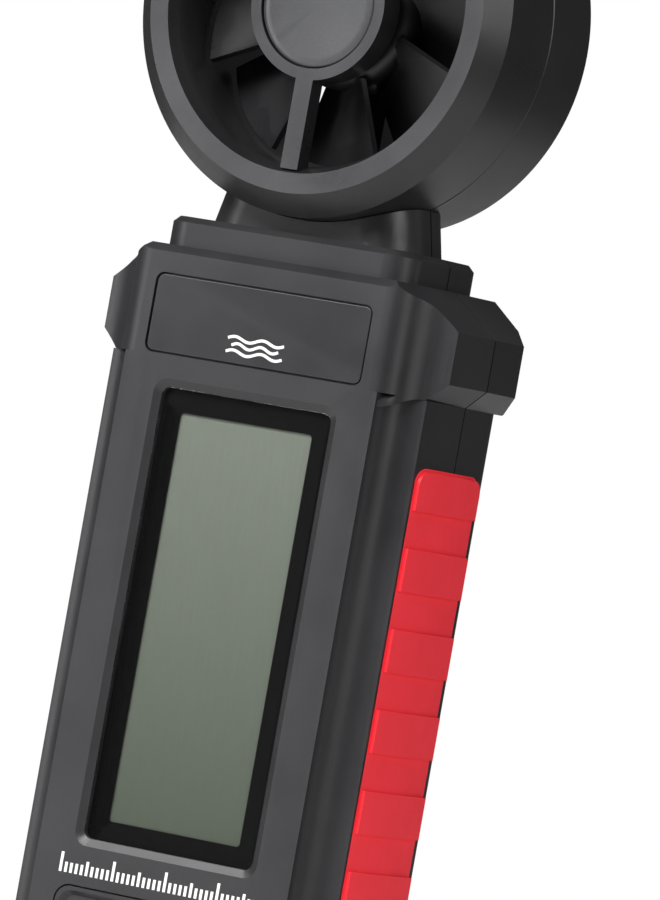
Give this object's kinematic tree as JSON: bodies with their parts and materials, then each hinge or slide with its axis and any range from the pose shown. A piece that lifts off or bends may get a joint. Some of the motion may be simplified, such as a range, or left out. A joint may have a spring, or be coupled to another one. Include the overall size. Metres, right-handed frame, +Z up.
{
  "type": "vane anemometer",
  "caption": "Handheld vane anemometer: ringed impeller on a slim handle with display, keypad, side grips and battery door.",
  "frame": {"origin": "centre of the bounding box seen from above, on the flat bottom end", "axes": "+Z up the handle to the fan, +X to the user's right, +Y from the display face to the back"},
  "size_m": [0.0624, 0.0286, 0.2091],
  "materials": {
    "body_plastic": "fine spark grain",
    "ring_plastic": "satin with grained rim",
    "plate_plastic": "satin",
    "clear_window": "clear gloss",
    "black_print": "gloss",
    "lcd_cell": "grey-green display",
    "inner_white_plastic": "moulded",
    "light_guide": "clear moulded",
    "contact_rubber": "matte",
    "red_rubber": "soft matte",
    "panel_plastic": "satin",
    "key_plastic": "satin",
    "switch_plastic": "moulded",
    "circuit_board": "solder mask",
    "chip_epoxy": "moulded",
    "cable_jacket": "smooth",
    "zinc_steel": "zinc plated",
    "brass_insert": "machined",
    "nickel_contact": "nickel plated",
    "cap_plastic": "satin",
    "bearing_bronze": "sintered",
    "impeller_plastic": "moulded",
    "shaft_steel": "ground",
    "magnet_ferrite": "sintered",
    "cell_can": "printed sleeve"
  },
  "bodies": {
    "case": {"battery_1": "cell_can", "battery_2": "cell_can", "battery_3": "cell_can", "board_screws": "zinc_steel", "buzzer": "switch_plastic", "cable_socket": "inner_white_plastic", "case_screws": "zinc_steel", "contact_plates": "nickel_contact", "contact_springs": "nickel_contact", "controller_chip": "chip_epoxy", "display_mask": "black_print", "display_window": "clear_window", "fan_ring_front": "ring_plastic", "fan_ring_rear": "ring_plastic", "front_bearing": "bearing_bronze", "front_shell": "body_plastic", "hub_cap": "cap_plastic", "key_panel": "panel_plastic", "lcd_backlight": "light_guide", "lcd_holder": "inner_white_plastic", "lcd_panel": "lcd_cell", "left_grip": "red_rubber", "main_board": "circuit_board", "nameplate": "plate_plastic", "pickup_board": "circuit_board", "rear_bearing": "bearing_bronze", "rear_shell": "body_plastic", "right_grip": "red_rubber", "ring_screws": "zinc_steel", "sensor_cable": "cable_jacket", "tactile_switches": "switch_plastic", "tripod_insert": "brass_insert", "zebra_strip": "contact_rubber"},
    "rotor": {"impeller": "impeller_plastic", "impeller_magnet": "magnet_ferrite", "impeller_shaft": "shaft_steel"},
    "door": {"battery_door": "body_plastic"},
    "key_power_body": {"key_power": "key_plastic"},
    "key_hold_body": {"key_hold": "key_plastic"},
    "key_max_min_body": {"key_max_min": "key_plastic"},
    "key_unit_body": {"key_unit": "key_plastic"},
    "key_backlight_body": {"key_backlight": "key_plastic"},
    "key_scale_body": {"key_scale": "key_plastic"}
  },
  "joints": [
    {"name": "impeller_spin", "type": "hinge", "parent": "case", "child": "rotor", "pos_m": [0, -0.0019, 0.178], "axis": [0, 1, 0], "continuous": true},
    {"name": "battery_door_slide", "type": "slide", "parent": "case", "child": "door", "axis": [0, 0, -1], "range_m": [0, 0.01]},
    {"name": "key_power_press", "type": "slide", "parent": "case", "child": "key_power_body", "axis": [0, 1, 0], "range_m": [0, 0.0004], "stiffness_N_per_m": 300, "springref_m": -0.0006},
    {"name": "key_hold_press", "type": "slide", "parent": "case", "child": "key_hold_body", "axis": [0, 1, 0], "range_m": [0, 0.0004], "stiffness_N_per_m": 300, "springref_m": -0.0006},
    {"name": "key_max_min_press", "type": "slide", "parent": "case", "child": "key_max_min_body", "axis": [0, 1, 0], "range_m": [0, 0.0004], "stiffness_N_per_m": 300, "springref_m": -0.0006},
    {"name": "key_unit_press", "type": "slide", "parent": "case", "child": "key_unit_body", "axis": [0, 1, 0], "range_m": [0, 0.0004], "stiffness_N_per_m": 300, "springref_m": -0.0006},
    {"name": "key_backlight_press", "type": "slide", "parent": "case", "child": "key_backlight_body", "axis": [0, 1, 0], "range_m": [0, 0.0004], "stiffness_N_per_m": 300, "springref_m": -0.0006},
    {"name": "key_scale_press", "type": "slide", "parent": "case", "child": "key_scale_body", "axis": [0, 1, 0], "range_m": [0, 0.0004], "stiffness_N_per_m": 300, "springref_m": -0.0006}
  ]
}
